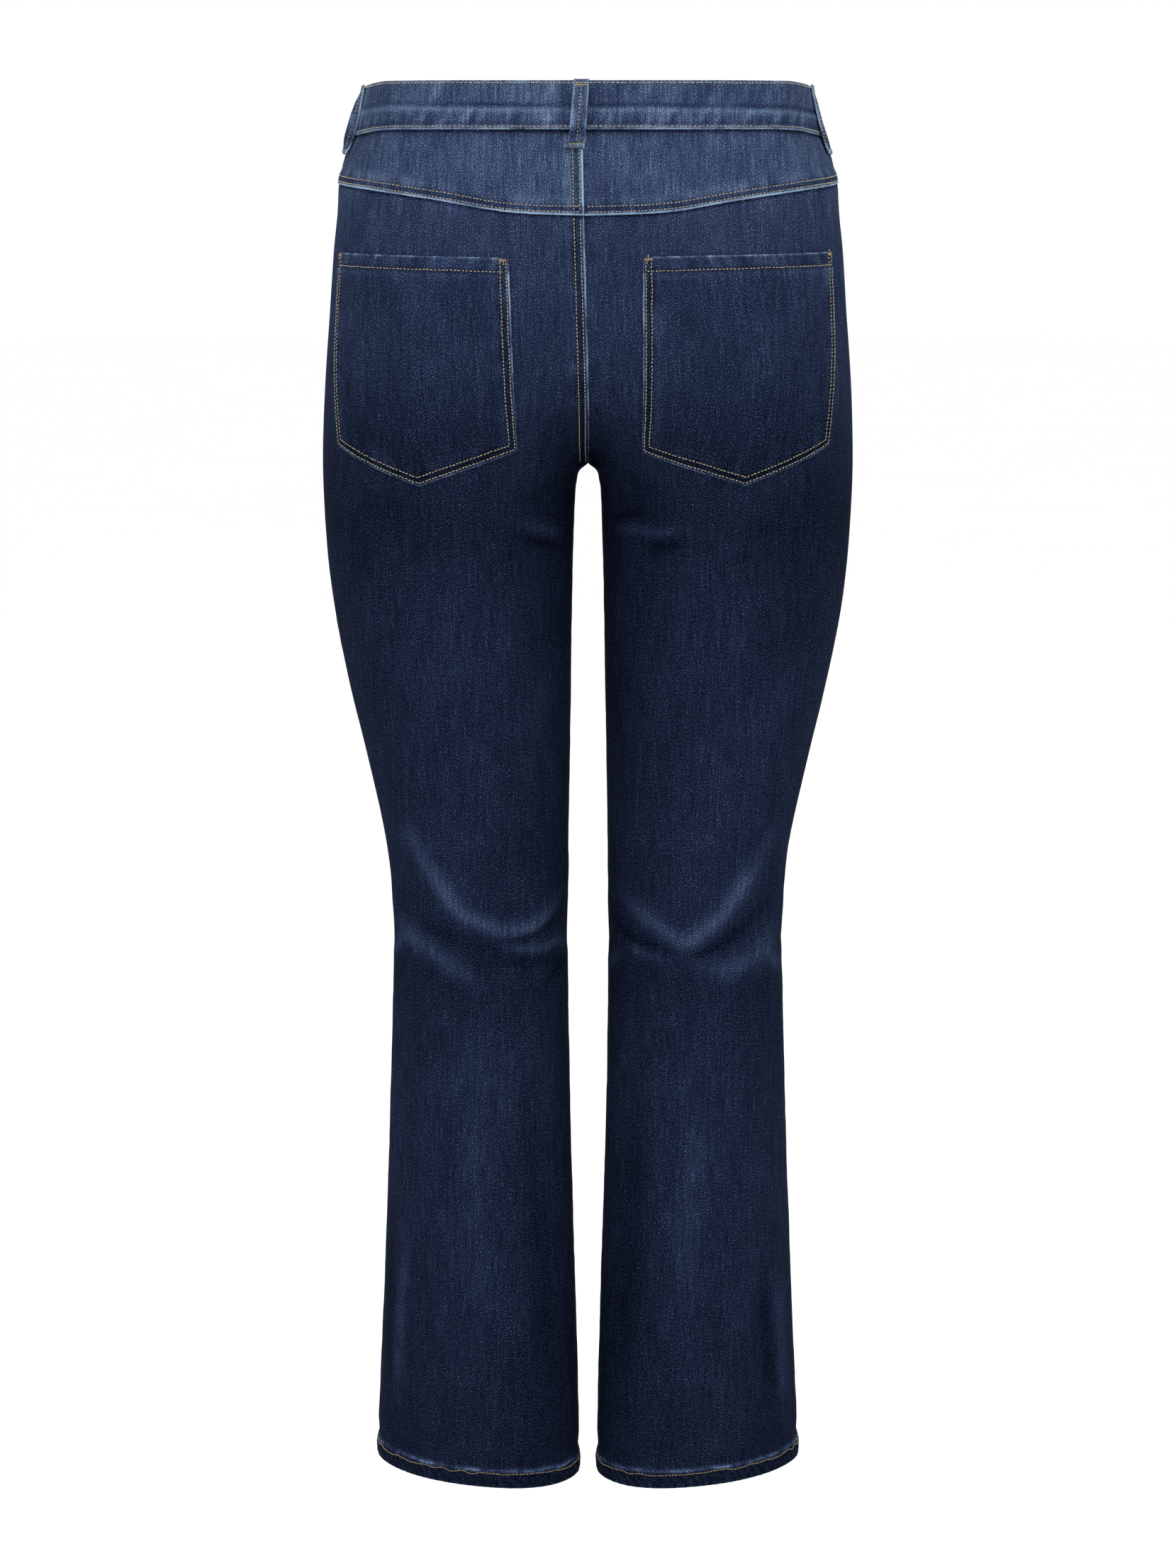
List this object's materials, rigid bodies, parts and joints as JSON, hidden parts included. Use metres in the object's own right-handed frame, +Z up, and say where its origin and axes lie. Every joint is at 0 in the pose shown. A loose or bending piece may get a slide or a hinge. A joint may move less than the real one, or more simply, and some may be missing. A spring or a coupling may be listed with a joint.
{
  "type": "flared jeans",
  "caption": "High-waisted flared jeans in indigo stretch denim with back yoke, patch pockets, belt loops and fly, in their worn shape.",
  "frame": {"origin": "centre of the waist, at half the waistband's height, where the wearer holds the garment up", "axes": "+Z up along the body, the front faces -Y, +X towards the wearer's left"},
  "size_m": [0.4292, 0.2781, 1.1267],
  "materials": {
    "faded_indigo_denim": "twill weave, matt, faded",
    "indigo_denim": "twill weave, matt",
    "zip_tape": "woven tape, matt",
    "antique_brass": "aged, satin"
  },
  "bodies": {
    "root": {"waistband": "faded_indigo_denim", "back_yoke_left": "faded_indigo_denim", "back_yoke_right": "faded_indigo_denim", "back_panel_left": "indigo_denim", "back_panel_right": "indigo_denim", "front_panel_left": "indigo_denim", "front_panel_right": "indigo_denim", "back_pocket_left": "indigo_denim", "back_pocket_right": "indigo_denim", "belt_loop_back": "faded_indigo_denim", "belt_loop_side_left": "faded_indigo_denim", "belt_loop_side_right": "faded_indigo_denim", "belt_loop_front_left": "faded_indigo_denim", "belt_loop_front_right": "faded_indigo_denim", "zip": "zip_tape", "fly_shield": "indigo_denim", "waist_button": "antique_brass"}
  },
  "joints": []
}
